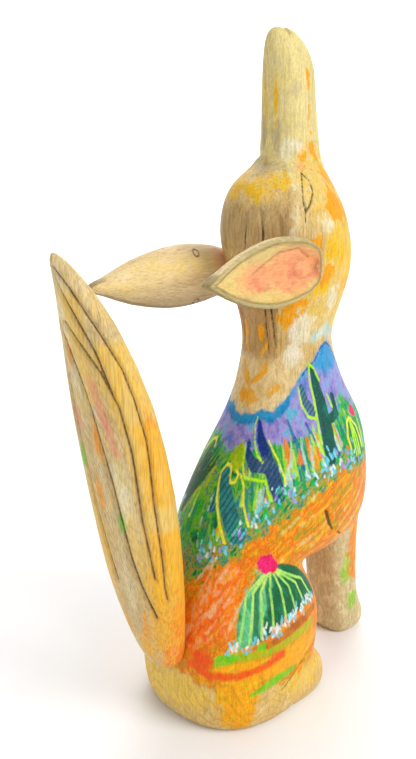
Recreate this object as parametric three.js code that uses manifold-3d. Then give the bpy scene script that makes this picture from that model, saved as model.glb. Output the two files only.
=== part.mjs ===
// Carved and painted howling coyote, sitting with its muzzle straight up.
// Millimetres, +Z up. The animal looks along -Y, its left side is +X, and it rests on z = 0.
import * as THREE from 'three';
import { mergeVertices } from 'three/addons/utils/BufferGeometryUtils.js';
import Module from 'manifold-3d';

const wasm = await Module();
wasm.setup();

// Driving dimensions
const HEIGHT = 380;            // ground to nose
const GAP = 0.3;               // glue line or slip clearance between touching pieces
const PEG_DIAMETER = 7;        // dowels that carry the tail and the ears
const PEG_CLEARANCE = 0.3;     // all round, in the sockets of the body
const GLUE_CLEARANCE = 0.1;    // all round, in the bores of tail and ears
const EAR_LENGTH = 97;
const EAR_WIDTH = 36;
const EAR_THICKNESS = 16;
const HOLLOW_DEPTH = 4.5;       // of the shallow dish in an ear
const CENTRE_Y = 5.74;          // puts the middle of the figure's length on the origin
const SEGMENTS = 32;           // points round one carved section

// ---------------------------------------------------------------- helpers

// Smooth values between hand-set stations (Catmull-Rom, one column at a time).
function smoothStations(stations, steps) {
  const rows = [];
  const last = stations.length - 1;
  for (let i = 0; i < last; i += 1) {
    const before = stations[Math.max(i - 1, 0)];
    const here = stations[i];
    const next = stations[i + 1];
    const after = stations[Math.min(i + 2, last)];
    for (let s = 0; s < steps; s += 1) {
      const t = s / steps;
      rows.push(here.map((value, k) => {
        const slopeIn = (next[k] - before[k]) / 2;
        const slopeOut = (after[k] - here[k]) / 2;
        const t2 = t * t;
        const t3 = t2 * t;
        return value * (2 * t3 - 3 * t2 + 1) + next[k] * (3 * t2 - 2 * t3)
          + slopeIn * (t3 - 2 * t2 + t) + slopeOut * (t3 - t2);
      }));
    }
  }
  rows.push([...stations[last]]);
  return rows;
}

// Closed skin over a list of rings with the same number of points, with fans over both ends.
// Rings run anticlockwise seen from the last ring back to the first.
function loft(rings) {
  const count = rings[0].length;
  const positions = [];
  const index = [];
  rings.forEach((ring) => ring.forEach((p) => positions.push(p.x, p.y, p.z)));
  for (let i = 0; i < rings.length - 1; i += 1) {
    for (let j = 0; j < count; j += 1) {
      const a = i * count + j;
      const b = i * count + ((j + 1) % count);
      index.push(a, b, b + count, a, b + count, a + count);
    }
  }
  const addFan = (ring, offset, upward) => {
    const centre = ring.reduce((sum, p) => sum.add(p), new THREE.Vector3()).divideScalar(count);
    const hub = positions.length / 3;
    positions.push(centre.x, centre.y, centre.z);
    for (let j = 0; j < count; j += 1) {
      const a = offset + j;
      const b = offset + ((j + 1) % count);
      index.push(...(upward ? [hub, a, b] : [hub, b, a]));
    }
  };
  addFan(rings[0], 0, false);
  addFan(rings[rings.length - 1], (rings.length - 1) * count, true);
  const geometry = new THREE.BufferGeometry();
  geometry.setAttribute('position', new THREE.Float32BufferAttribute(positions, 3));
  geometry.setIndex(index);
  return geometry;
}

// Level ring: an oval from front to back, squarer when power is above 2.
function levelRing(z, back, front, halfWidth, power = 2, centreX = 0) {
  const ring = [];
  const centreY = (back + front) / 2;
  const halfDepth = (back - front) / 2;
  for (let j = 0; j < SEGMENTS; j += 1) {
    const angle = (j / SEGMENTS) * 2 * Math.PI;
    const c = Math.cos(angle);
    const s = Math.sin(angle);
    const x = Math.sign(c) * Math.abs(c) ** (2 / power) * halfWidth;
    const y = Math.sign(s) * Math.abs(s) ** (2 / power) * halfDepth;
    ring.push(new THREE.Vector3(centreX + x, centreY + y, z));
  }
  return ring;
}

function toSolid(geometry) {
  const welded = mergeVertices(geometry, 1e-4);
  const mesh = new wasm.Mesh({
    numProp: 3,
    vertProperties: new Float32Array(welded.attributes.position.array),
    triVerts: new Uint32Array(welded.index.array),
  });
  mesh.merge();
  return new wasm.Manifold(mesh);
}

function toNode(solid, name, colour) {
  const mesh = solid.getMesh();
  const geometry = new THREE.BufferGeometry();
  geometry.setAttribute('position', new THREE.Float32BufferAttribute(mesh.vertProperties, 3));
  geometry.setIndex(new THREE.Uint32BufferAttribute(mesh.triVerts, 1));
  geometry.translate(0, CENTRE_Y, 0);
  geometry.computeVertexNormals();
  const node = new THREE.Mesh(geometry, new THREE.MeshStandardMaterial({ color: colour, roughness: 0.6 }));
  node.name = name;
  return node;
}

function positionsOnly(geometry) {
  const plain = new THREE.BufferGeometry();
  plain.setAttribute('position', geometry.attributes.position.clone());
  plain.setIndex(geometry.index.clone());
  return plain;
}

function plainExtrude(shape, depth) {
  const extruded = new THREE.ExtrudeGeometry(shape, { depth, bevelEnabled: false });
  const plain = new THREE.BufferGeometry();
  plain.setAttribute('position', extruded.attributes.position.clone());
  return mergeVertices(plain, 1e-4);
}

// Round bar from one point, along a direction.
function bar(start, direction, length, radius, facets = 24) {
  const geometry = positionsOnly(new THREE.CylinderGeometry(radius, radius, length, facets));
  const turn = new THREE.Quaternion().setFromUnitVectors(new THREE.Vector3(0, 1, 0), direction);
  geometry.translate(0, length / 2, 0);
  geometry.applyQuaternion(turn);
  geometry.translate(start.x, start.y, start.z);
  return toSolid(geometry);
}

// ---------------------------------------------------------------- body

// Trunk, neck, head and muzzle: [height, back, front, half width]
const COLUMN = [
  [86, 22, -78, 28],
  [90, 28, -92, 39],
  [100, 30, -105, 46],
  [114, 24, -109, 47],
  [140, 8, -108, 43.5],
  [162, -7, -102, 37],
  [184, -17, -88, 29.5],
  [211, -21.5, -77.5, 24.5],
  [230, -17.5, -83.5, 27.5],
  [250, -11, -90, 32],
  [270, -5, -88, 33.5],
  [287, -6.5, -81, 31],
  [299, -12, -74, 25.5],
  [308, -26, -69, 18.5],
  [318, -30, -66, 14.5],
  [345, -30, -62, 13],
  [360, -29.5, -60.5, 11.5],
  [370, -29, -56.5, 9.5],
  [377, -30.5, -49, 6.5],
  [HEIGHT, -34, -41, 2],
];

// Rump between the thighs: [height, back, front, half width]
const RUMP = [
  [0, 39, -30, 40],
  [5, 44, -34, 44.5],
  [24, 46.5, -36, 47],
  [50, 44, -37, 47],
  [80, 36, -36, 43],
  [104, 22, -34, 36],
  [114, 10, -30, 26],
];

// One thigh, for the left side: [height, back, front, half width, centre across]
const THIGH = [
  [0, 22, -26, 11, 31],
  [6, 27, -31, 14, 31.5],
  [30, 31, -37, 17.5, 32],
  [60, 28, -38, 19, 32],
  [85, 16, -27, 16, 30],
  [104, 2, -14, 10, 27],
  [110, -4, -10, 4, 25],
];

// One hind paw, for the left side
const HIND_PAW = [
  [0, 0, -43, 11, 31],
  [4, 0, -48, 13, 31],
  [12, 0, -49, 13, 31],
  [20, 0, -46, 11, 31],
  [27, -6, -39, 6, 31],
];

// Both forelegs are one block
const FORELEGS = [
  [0, -95, -120, 14],
  [4, -92, -124, 16.5],
  [12, -91, -124, 17],
  [21, -90, -119, 16.5],
  [34, -88, -116, 16],
  [60, -84, -114, 16.5],
  [80, -78, -112, 19],
  [102, -66, -108, 26],
];

function column(stations, steps, power, mirror = 1) {
  const rows = smoothStations(stations, steps);
  const rings = rows.map(([z, back, front, width, across = 0]) => (
    levelRing(z, back, front, width, power, across * mirror)));
  return toSolid(loft(rings));
}

// V-shaped mouth slit across the end of the muzzle.
function mouthSlit() {
  const shape = new THREE.Shape([
    new THREE.Vector2(-39.5, 362),
    new THREE.Vector2(-40.8, 384),
    new THREE.Vector2(-36.8, 384),
  ]);
  const geometry = plainExtrude(shape, 40);
  const turn = new THREE.Matrix4().makeBasis(
    new THREE.Vector3(0, 1, 0), new THREE.Vector3(0, 0, 1), new THREE.Vector3(1, 0, 0));
  geometry.applyMatrix4(turn);
  geometry.translate(-20, 0, 0);
  return toSolid(geometry);
}

function carvedBody() {
  let solid = column(COLUMN, 2, 2);
  solid = solid.add(column(RUMP, 2, 2.3));
  for (const side of [1, -1]) {
    solid = solid.add(column(THIGH, 2, 2.2, side));
    solid = solid.add(column(HIND_PAW, 2, 2.6, side));
  }
  solid = solid.add(column(FORELEGS, 2, 3));
  return solid.subtract(mouthSlit());
}

// ---------------------------------------------------------------- tail

// Spine of the tail: [back, height, half width, half thickness]
const TAIL = [
  [48, 40, 10, 6],
  [49.5, 45, 14, 9.5],
  [55, 66, 20, 13],
  [62, 100, 26, 16],
  [70, 146, 29, 17],
  [80.5, 194, 27, 15.5],
  [93, 235, 18, 11],
  [103.5, 259, 9.5, 6],
  [110, 270, 4.5, 3.2],
  [112, 274, 1.4, 1.1],
];
const TAIL_GROOVES = 5;
const TAIL_GROOVE_DEPTH = 1.3;

function tailRing(rows, i) {
  const [y, z, halfWidth, halfThickness] = rows[i];
  const before = rows[Math.max(i - 1, 0)];
  const after = rows[Math.min(i + 1, rows.length - 1)];
  const along = new THREE.Vector3(0, after[0] - before[0], after[1] - before[1]).normalize();
  const across = new THREE.Vector3(1, 0, 0);
  const outward = new THREE.Vector3().crossVectors(along, across);
  const ring = [];
  const count = 40;
  for (let j = 0; j < count; j += 1) {
    const angle = (j / count) * 2 * Math.PI;
    const c = Math.cos(angle);
    const s = Math.sin(angle);
    const onBack = s > 0.2 && i > 3;
    const stripe = Math.abs(Math.cos((TAIL_GROOVES / 2) * (angle - Math.PI / 2))) ** 12;
    const cut = onBack ? stripe * TAIL_GROOVE_DEPTH * Math.min(1, halfWidth / 12) : 0;
    const p = new THREE.Vector3(0, y, z);
    p.addScaledVector(across, c * (halfWidth - cut));
    p.addScaledVector(outward, s * (halfThickness - cut));
    ring.push(p);
  }
  return ring;
}

function tailBlank() {
  const rows = smoothStations(TAIL, 2);
  return toSolid(loft(rows.map((row, i) => tailRing(rows, i))));
}

// ---------------------------------------------------------------- ears

// Outline of an ear from root to tip: [share of length, share of half width, share of thickness]
const EAR = [
  [0, 0.4, 0.5],
  [0.03, 0.6, 0.7],
  [0.14, 0.86, 0.95],
  [0.33, 1, 1],
  [0.5, 0.97, 0.95],
  [0.72, 0.7, 0.75],
  [0.9, 0.3, 0.5],
  [1, 0.04, 0.28],
];

// Where each ear sits: centre of the root, and the way the tip points.
const EARS = {
  left: { side: 1, root: [34, -36, 249], splay: 7, rise: -2 },
  right: { side: -1, root: [-34, -36, 257], splay: 7, rise: 0 },
};

// Axes of an ear: along to the tip, up, and out of the hollow face.
function earFrame(place) {
  const splay = THREE.MathUtils.degToRad(place.splay) * place.side;
  const rise = THREE.MathUtils.degToRad(place.rise);
  const along = new THREE.Vector3(Math.sin(splay) * Math.cos(rise),
    Math.cos(splay) * Math.cos(rise), Math.sin(rise));
  const out = new THREE.Vector3(Math.cos(splay) * place.side, -Math.sin(splay) * place.side, 0);
  const up = new THREE.Vector3().crossVectors(out, along).multiplyScalar(place.side);
  return { along, up, out, root: new THREE.Vector3(...place.root) };
}

function earRing(axes, share, halfWidth, backDepth, rim, count = 24) {
  const ring = [];
  for (let j = 0; j < count; j += 1) {
    const angle = (j / count) * 2 * Math.PI;
    const v = Math.cos(angle) * halfWidth;
    const s = Math.sin(angle);
    const w = s < 0 ? s * backDepth : s * rim;
    ring.push(axes.root.clone()
      .addScaledVector(axes.along, share * EAR_LENGTH)
      .addScaledVector(axes.up, v)
      .addScaledVector(axes.out, w));
  }
  return ring;
}

// The rings of a left ear and a right ear turn opposite ways round, so one of them is reversed.
function earLoft(axes, side, rings) {
  const turned = side < 0 ? rings.map((ring) => [...ring].reverse()) : rings;
  return toSolid(loft(turned));
}

function earBlank(place) {
  const axes = earFrame(place);
  const rows = smoothStations(EAR, 2);
  const slab = earLoft(axes, place.side, rows.map(([t, w, d]) => (
    earRing(axes, t, w * EAR_WIDTH / 2, d * (EAR_THICKNESS - 3), 3))));
  const cupRows = rows.slice(2, -2);
  const cup = earLoft(axes, place.side, cupRows.map(([t, w, d]) => {
    const inner = { ...axes, root: axes.root.clone().addScaledVector(axes.out, 3.2) };
    return earRing(inner, t * 0.93 + 0.035, w * EAR_WIDTH / 2 - 3.2, d * HOLLOW_DEPTH, 4);
  }));
  return slab.subtract(cup);
}

// ---------------------------------------------------------------- pegs

// Each peg: start inside the body, direction out of the body, depths in the body and in the piece.
const PEGS = {
  tail: { start: [0, 24, 52], direction: [0, 1, 0.12], length: 34 },
  left_ear: { start: [10, -39, 249], direction: [0.8, 0.6, 0], length: 25.5 },
  right_ear: { start: [-10, -39, 257], direction: [-0.8, 0.6, 0], length: 25.5 },
};

function pegBar(peg, extraRadius, extraLength) {
  const direction = new THREE.Vector3(...peg.direction).normalize();
  const start = new THREE.Vector3(...peg.start).addScaledVector(direction, -extraLength);
  return bar(start, direction, peg.length + 2 * extraLength, PEG_DIAMETER / 2 + extraRadius);
}

// ---------------------------------------------------------------- assembly

function grown(solid, reach) {
  let result = solid;
  for (const axis of [[1, 0, 0], [0, 1, 0], [0, 0, 1]]) {
    for (const sign of [1, -1]) {
      result = result.add(solid.translate(axis.map((value) => value * sign * reach)));
    }
  }
  return result;
}

function buildFigure() {
  const figure = new THREE.Group();
  figure.name = 'howling_coyote';
  const pale = 0xd9bd84;
  let body = carvedBody();
  const roomForBody = grown(body, GAP);
  for (const peg of Object.values(PEGS)) {
    body = body.subtract(pegBar(peg, PEG_CLEARANCE, GAP));
  }
  figure.add(toNode(body, 'body', pale));

  const pieces = {
    tail: tailBlank(),
    left_ear: earBlank(EARS.left),
    right_ear: earBlank(EARS.right),
  };
  for (const [name, blank] of Object.entries(pieces)) {
    const bored = blank.subtract(roomForBody).subtract(pegBar(PEGS[name], GLUE_CLEARANCE, GLUE_CLEARANCE));
    figure.add(toNode(bored, name, pale));
    figure.add(toNode(pegBar(PEGS[name], 0, 0), `${name}_peg`, 0xb98b52));
  }
  return figure;
}

export default buildFigure();
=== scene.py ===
import math
import random

import bpy
import numpy as np
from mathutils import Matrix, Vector


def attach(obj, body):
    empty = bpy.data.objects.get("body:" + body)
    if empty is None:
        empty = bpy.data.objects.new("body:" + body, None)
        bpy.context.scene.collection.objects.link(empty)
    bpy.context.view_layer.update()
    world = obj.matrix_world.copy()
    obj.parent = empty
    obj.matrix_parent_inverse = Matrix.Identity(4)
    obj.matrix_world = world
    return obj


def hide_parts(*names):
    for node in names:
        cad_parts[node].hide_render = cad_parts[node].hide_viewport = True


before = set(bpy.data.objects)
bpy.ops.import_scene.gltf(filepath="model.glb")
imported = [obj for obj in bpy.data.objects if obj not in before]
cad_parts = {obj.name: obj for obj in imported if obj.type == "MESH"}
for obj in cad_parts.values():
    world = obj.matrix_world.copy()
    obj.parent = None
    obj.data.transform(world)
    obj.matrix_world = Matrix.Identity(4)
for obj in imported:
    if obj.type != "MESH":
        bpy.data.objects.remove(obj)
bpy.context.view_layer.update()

# Lengths are millimetres in the row frame, apart from those named _m and the studio's, in metres.
# The animal looks along -Y and its left side is +X. The painting is laid out on charts that wrap
# round the figure: across = distance round from the middle of the back, up = height.
MM = 0.001
SEED = 11
BODY_VOXEL = 1.1
TAIL_VOXEL = 0.9
EAR_VOXEL = 0.8

# Where the photo was taken from.
AZIMUTH = math.radians(226.0)
ELEVATION = math.radians(15.0)
CAMERA = {
    "distance": 465.0,
    "target": (0, 20.7, 196.5),
    "lens": 40.65,
}

# Mouths and directions of the three dowel sockets, as in the CAD part.
SOCKETS = {
    "tail": ((0, 29.7, 52), (0, 1, 0.12)),
    "left_ear": ((10, -33.3, 249), (0.8, 0.6, 0)),
    "right_ear": ((-10, -33.3, 257), (-0.8, 0.6, 0)),
}
PEG_RADIUS = 3.5
PEG_LENGTHS = {"tail": 34, "left_ear": 25.5, "right_ear": 25.5}


# ------ mesh helpers

def new_object(name, data):
    obj = bpy.data.objects.new(name, data)
    bpy.context.scene.collection.objects.link(obj)
    return obj


def remeshed_copy(node, name, voxel):
    """A fine, even copy of a CAD node's surface."""
    source = new_object(name + "_source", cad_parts[node].data.copy())
    modifier = source.modifiers.new("even", "REMESH")
    modifier.mode = "VOXEL"
    modifier.voxel_size = voxel * MM
    bpy.context.view_layer.update()
    graph = bpy.context.evaluated_depsgraph_get()
    mesh = bpy.data.meshes.new_from_object(source.evaluated_get(graph))
    bpy.data.objects.remove(source)
    mesh.materials.clear()
    return new_object(name, mesh)


def points_of(obj):
    """The mesh's points in millimetres, one row each."""
    co = np.empty(len(obj.data.vertices) * 3)
    obj.data.vertices.foreach_get("co", co)
    return co.reshape(-1, 3) / MM


def set_points(obj, points):
    obj.data.vertices.foreach_set("co", (points * MM).ravel())
    obj.data.update()


def normals_of(obj):
    vectors = np.empty(len(obj.data.vertices) * 3)
    obj.data.vertex_normals.foreach_get("vector", vectors)
    return vectors.reshape(-1, 3)


def smoothed(obj, passes, weight):
    """Relaxes every point towards its neighbours; weight is 0 to 1 per point."""
    points = points_of(obj)
    pairs = np.empty(len(obj.data.edges) * 2, np.int64)
    obj.data.edges.foreach_get("vertices", pairs)
    a, b = pairs.reshape(-1, 2).T
    total = len(points)
    count = np.bincount(a, minlength=total) + np.bincount(b, minlength=total)
    for _ in range(passes):
        for k in range(3):
            near = np.bincount(a, points[b, k], total) + np.bincount(b, points[a, k], total)
            points[:, k] += 0.5 * weight * (near / count - points[:, k])
    set_points(obj, points)
    return points


def socket_distances(points, name):
    """Distance along a dowel's axis from the socket's mouth, and distance away from that axis."""
    start, way = SOCKETS[name]
    way = np.array(way) / np.linalg.norm(way)
    offset = points - np.array(start)
    along = offset @ way
    return along, np.linalg.norm(offset - along[:, None] * way, axis=1)


def dress(obj, layers, material):
    """Stores the paint layers on a carved piece, one number per point, and adds its material."""
    for name, inside in layers.items():
        attribute = obj.data.attributes.new(name, "FLOAT", "POINT")
        attribute.data.foreach_set("value", np.asarray(inside, np.float32))
    obj.data.polygons.foreach_set("use_smooth", np.ones(len(obj.data.polygons), bool))
    obj.data.materials.append(material)


def groove(inside, width, depth):
    """Depth of a rounded cut, full where inside is 0 or more and gone at width outside it."""
    return -depth * np.clip(inside / width + 1, 0, 1) ** 2


# ------ shapes on a chart
# A chart is a pair of arrays, across and up, with one value for each point of the mesh.
# Every shape returns millimetres inside its edge: positive inside, negative outside.
# An oval is (across, up, half width, half height); a path is a list of (across, up, radius).

def together(*shapes):
    return np.max(shapes, axis=0)


def within(*shapes):
    return np.min(shapes, axis=0)


def bead(chart, centre, radius):
    return radius - np.hypot(chart[0] - centre[0], chart[1] - centre[1])


def oval(chart, x, y, across, up):
    scaled = np.hypot((chart[0] - x) / across, (chart[1] - y) / up)
    return (1 - scaled) * min(across, up)


def rod(chart, start, end, r_start, r_end):
    """Straight stroke with round ends whose radius runs from r_start to r_end."""
    dx, dy = end[0] - start[0], end[1] - start[1]
    length = max(dx * dx + dy * dy, 1e-9)
    t = np.clip(((chart[0] - start[0]) * dx + (chart[1] - start[1]) * dy) / length, 0, 1)
    away = np.hypot(chart[0] - start[0] - t * dx, chart[1] - start[1] - t * dy)
    return r_start + (r_end - r_start) * t - away


def even(radius, *points):
    """A path with the same radius at every point."""
    return [(x, y, radius) for x, y in points]


def painted(chart, paths=(), ovals=()):
    """Bent strokes along the paths, and the ovals."""
    parts = [oval(chart, *mark) for mark in ovals]
    for path in paths:
        parts += [rod(chart, a[:2], b[:2], a[2], b[2]) for a, b in zip(path, path[1:])]
    return together(*parts)


def height_at(knots, across):
    """Height of a boundary that runs round the figure through (across, up) knots."""
    xs, ys = zip(*knots)
    return np.interp(np.abs(across), xs, ys)


# ------ node helpers

def rgb(code):
    """Linear colour of a six-digit screen colour."""
    values = [int(code[i:i + 2], 16) / 255 for i in (0, 2, 4)]
    return tuple(v / 12.92 if v <= 0.04045 else ((v + 0.055) / 1.055) ** 2.4 for v in values) + (1.0,)


class Shader:
    """A material under construction. Values are sockets or plain numbers."""

    def __init__(self, name):
        self.material = bpy.data.materials.new(name)
        self.material.use_nodes = True
        self.tree = self.material.node_tree
        self.surface = self.tree.nodes["Principled BSDF"]
        self.place = self.new("ShaderNodeTexCoord").outputs["Object"]
        self.mm = self.scaled(self.place, (1000, 1000, 1000))

    def new(self, kind, **settings):
        node = self.tree.nodes.new(kind)
        for key, value in settings.items():
            setattr(node, key, value)
        return node

    def put(self, socket, value):
        if isinstance(value, bpy.types.NodeSocket):
            self.tree.links.new(value, socket)
        else:
            socket.default_value = value

    def scaled(self, vector, scale):
        node = self.new("ShaderNodeVectorMath", operation="MULTIPLY")
        self.put(node.inputs[0], vector)
        node.inputs[1].default_value = scale
        return node.outputs[0]

    def turned(self, angle):
        """Millimetre coordinates turned about X, so that strokes can rise towards the chest."""
        node = self.new("ShaderNodeMapping")
        self.put(node.inputs["Vector"], self.mm)
        node.inputs["Rotation"].default_value = (angle, 0, 0)
        return node.outputs[0]

    def math(self, operation, a, b=0.0):
        node = self.new("ShaderNodeMath", operation=operation)
        self.put(node.inputs[0], a)
        self.put(node.inputs[1], b)
        return node.outputs[0]

    def times(self, a, b):
        return self.math("MULTIPLY", a, b)

    def plus(self, a, b):
        return self.math("ADD", a, b)

    def noise(self, stretch, scale, detail=3.0, rough=0.55, warp=0.0, vector=None):
        """Noise from 0 to 1; scale is features per millimetre."""
        node = self.new("ShaderNodeTexNoise")
        self.put(node.inputs["Vector"], self.scaled(vector or self.mm, stretch))
        node.inputs["Scale"].default_value = scale
        node.inputs["Detail"].default_value = detail
        node.inputs["Roughness"].default_value = rough
        node.inputs["Distortion"].default_value = warp
        return node.outputs["Fac"]

    def attribute(self, name):
        node = self.new("ShaderNodeAttribute", attribute_type="GEOMETRY", attribute_name=name)
        return node.outputs["Fac"]

    def step(self, value, low, high):
        node = self.new("ShaderNodeMapRange", interpolation_type="SMOOTHSTEP", clamp=True)
        self.put(node.inputs["Value"], value)
        node.inputs["From Min"].default_value = low
        node.inputs["From Max"].default_value = high
        return node.outputs["Result"]

    def mix(self, factor, a, b, blend="MIX"):
        """Colour a changed towards b. A mix node's colours are its inputs 6 and 7 and output 2."""
        node = self.new("ShaderNodeMix", data_type="RGBA", blend_type=blend)
        self.put(node.inputs[0], factor)
        self.put(node.inputs[6], a)
        self.put(node.inputs[7], b)
        return node.outputs[2]

    def ramp(self, value, stops):
        """Colour from a value: stops are (position, colour code)."""
        node = self.new("ShaderNodeValToRGB")
        elements = node.color_ramp.elements
        while len(elements) < len(stops):
            elements.new(0.5)
        for element, (position, code) in zip(elements, stops):
            element.position = position
            element.color = rgb(code)
        self.put(node.inputs[0], value)
        return node.outputs["Color"]

    def stain(self, colour, mask, amount, code):
        """Lays an even colour over the mask."""
        return self.mix(self.times(mask, amount), colour, rgb(code))

    def streaked(self, colour, amount, streaks, low, code, high):
        """Darkens colour where streaks are low: by code at low, not at all at high."""
        shades = self.ramp(streaks, [(low, code), (high, "ffffff")])
        return self.mix(amount, colour, shades, "MULTIPLY")

    def finish(self, colour, roughness, height, bump_m, saturation=1.0):
        vivid = self.new("ShaderNodeHueSaturation")
        vivid.inputs["Saturation"].default_value = saturation
        self.put(vivid.inputs["Color"], colour)
        bump = self.new("ShaderNodeBump")
        bump.inputs["Strength"].default_value = 1.0
        bump.inputs["Distance"].default_value = bump_m
        self.put(bump.inputs["Height"], height)
        self.put(self.surface.inputs["Base Color"], vivid.outputs["Color"])
        self.put(self.surface.inputs["Roughness"], roughness)
        self.put(self.surface.inputs["Normal"], bump.outputs["Normal"])
        self.surface.inputs["Specular IOR Level"].default_value = 0.22
        self.surface.inputs["Coat Weight"].default_value = 0.03
        self.surface.inputs["Coat Roughness"].default_value = 0.3
        return self.material


# ------ wood and brushwork

def wood_colour(sh, along, codes):
    """Pale carved wood: broad tone changes, fine fibres along one axis and dark pores."""
    thin = tuple(0.06 if k == along else 1.0 for k in range(3))
    codes = codes.split()
    broad = sh.noise(thin, 0.12, 3, 0.5, 0.6)
    colour = sh.ramp(broad, [(0.3, codes[0]), (0.5, codes[1]), (0.72, codes[2])])
    fibres = sh.noise(thin, 1.1, 3, 0.6, 0.2)
    colour = sh.mix(sh.step(fibres, 0.48, 0.75), colour, rgb(codes[3]), "MULTIPLY")
    pores = sh.noise(tuple(3.0 * v for v in thin), 1.1, 2, 0.5)
    colour = sh.stain(colour, sh.step(pores, 0.66, 0.75), 0.55, "8a6a48")
    return colour, fibres


def growth_rings(sh, centre, spacing):
    """Thin dark ring lines round an upright axis through centre."""
    offset = sh.new("ShaderNodeVectorMath", operation="SUBTRACT")
    sh.put(offset.inputs[0], sh.mm)
    offset.inputs[1].default_value = centre
    split = sh.new("ShaderNodeSeparateXYZ")
    sh.put(split.inputs[0], offset.outputs[0])
    x2 = sh.times(split.outputs[0], split.outputs[0])
    y2 = sh.times(split.outputs[1], split.outputs[1])
    away = sh.math("SQRT", sh.plus(x2, y2))
    lean = sh.times(split.outputs[2], 0.18)
    wobble = sh.times(sh.noise((1, 1, 0.3), 0.06, 2), 9.0)
    turn = sh.plus(sh.plus(away, lean), wobble)
    wave = sh.math("SINE", sh.times(turn, 2 * math.pi / spacing))
    return sh.step(wave, 0.35, 1.0)


# Paints laid on in long strokes that rise towards the chest.
SWEPT = {"ground", "coral", "marigold", "shade", "foot_wash"}


def brushed_layer(sh, colour, layer, shared):
    """Lays one paint over what is below it, with a dry-brushed, slightly wandering edge."""
    name, codes, softness, wander, cover = layer
    codes = codes.split()
    inside = sh.attribute(name)
    wobble = sh.times(sh.math("SUBTRACT", shared["edge"], 0.5), wander)
    if wander > 5 and "blotch" in shared:
        blotch = sh.times(sh.math("SUBTRACT", shared["blotch"], 0.5), 1.6 * wander)
        wobble = sh.plus(wobble, blotch)
    mask = sh.step(sh.plus(inside, wobble), -softness, softness)
    mask = sh.times(mask, cover)
    tone = shared["sweep"] if name in SWEPT and "sweep" in shared else shared["patch"]
    if len(codes) == 1:
        paint = rgb(codes[0])
    elif len(codes) == 2:
        paint = sh.mix(sh.step(tone, 0.42, 0.58), rgb(codes[0]), rgb(codes[1]))
    else:
        last = len(codes) - 1
        stops = [(0.32 + 0.36 * i / last, code) for i, code in enumerate(codes)]
        paint = sh.ramp(tone, stops)
    return sh.mix(mask, colour, paint)


# ------ charts of the body

# Boundaries that run round the trunk from the middle of the back (0) to the chest (166).
SKY_TOP = [(0, 171), (18, 172), (30, 175), (45, 174), (59, 180), (71, 189), (82, 197), (91, 201),
           (100, 208), (108, 211), (117, 207), (128, 196), (145, 184), (166, 188)]
FIELD_TOP = [(0, 153), (20, 157), (40, 158), (55, 158), (70, 160), (85, 162), (100, 170), (112, 178),
             (130, 168), (166, 162)]
DAB_LINE = [(0, 96), (11, 100), (24, 110), (39, 123), (54, 132), (63, 135), (83, 143), (93, 144),
            (106, 142), (120, 139), (140, 133), (166, 128)]
GROUND_TOP = [(0, 82), (16, 91), (30, 104), (50, 118), (62, 124), (75, 131), (90, 138), (120, 135),
              (166, 124)]
# Foot of the dome cactus on the haunch.
DOME_BASE = [(30, 51), (41, 55), (52, 59), (69, 65.5), (80, 68), (93, 69.5), (104, 70)]


def chart_round(points, axis_y, half_x, half_y, radius):
    """Wraps round an upright axis, with the right flank positive across."""
    angle = np.arctan2(np.abs(points[:, 0]) / half_x, (points[:, 1] - axis_y) / half_y)
    return -np.sign(points[:, 0]) * radius * angle, points[:, 2]


def trunk_chart(points):
    """Round the trunk, neck and head."""
    return chart_round(points, axis_y=-32, half_x=46, half_y=60, radius=52)


def haunch_chart(points):
    """Round the rump and haunches."""
    return chart_round(points, axis_y=5, half_x=50, half_y=42, radius=47)


def both_sides(chart, shapes):
    """The same shapes on the right flank and, a little shifted, on the left flank."""
    across, up = chart
    left = (-across * 0.97 + 1, up + 2.5 * np.sin(across / 26))
    return np.maximum(shapes((across, up)), shapes(left))


def mirrored(chart, paths=(), ovals=()):
    """Paths and ovals given for the right flank, painted on both."""
    return both_sides(chart, lambda c: painted(c, paths, ovals))


# ------ scattered strokes
# A scattered stroke is (start, end, start radius, end radius).

def scatter(seed, count, draw):
    """A list of strokes; draw(rng) makes one of them."""
    rng = random.Random(seed)
    return [draw(rng) for _ in range(count)]


def union_of(chart, strokes):
    """Union of strokes, each worked out only on the points near it."""
    reach = 9
    far_outside = -50.0
    result = np.full(len(chart[0]), far_outside)
    for start, end, r_start, r_end in strokes:
        near = np.abs(chart[0] - (start[0] + end[0]) / 2) < reach + abs(start[0] - end[0])
        near &= np.abs(chart[1] - (start[1] + end[1]) / 2) < reach + abs(start[1] - end[1])
        small = (chart[0][near], chart[1][near])
        result[near] = np.maximum(result[near], rod(small, start, end, r_start, r_end))
    return result


def dab_strokes(seed, knots, low, high, count, spread, size):
    """Small upright dabs scattered along a boundary, on both flanks."""
    def one(rng):
        x = rng.uniform(low, high) * rng.choice((-1, 1))
        y = height_at(knots, x) + rng.gauss(0, spread)
        tall = rng.uniform(0.5, 3.0)
        lean = rng.uniform(-1.2, 1.2)
        r = rng.uniform(0.6, 1.0) * size
        return (x, y), (x + lean, y + tall), r, r * 0.7
    return scatter(seed, count, one)


def grass_strokes(seed, count, size, tallest):
    """Upright strokes between the dab line and the sky, shorter and thinner on the back."""
    def one(rng):
        x = rng.uniform(2, 160) * rng.choice((-1, 1))
        on_back = abs(x) < 30
        tall = tallest * (0.45 if on_back else 1)
        foot = height_at(DAB_LINE, x) + rng.uniform(0, 40 if on_back else 14)
        top = min(foot + rng.uniform(0.4, 1) * tall, height_at(FIELD_TOP, x) + rng.uniform(-4, 7))
        r = rng.uniform(0.7, 1.3) * size * (0.75 if on_back else 1)
        return (x, foot), (x + rng.uniform(-2, 2), max(top, foot + 2)), r, r * 0.4
    return scatter(seed, count, one)


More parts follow.
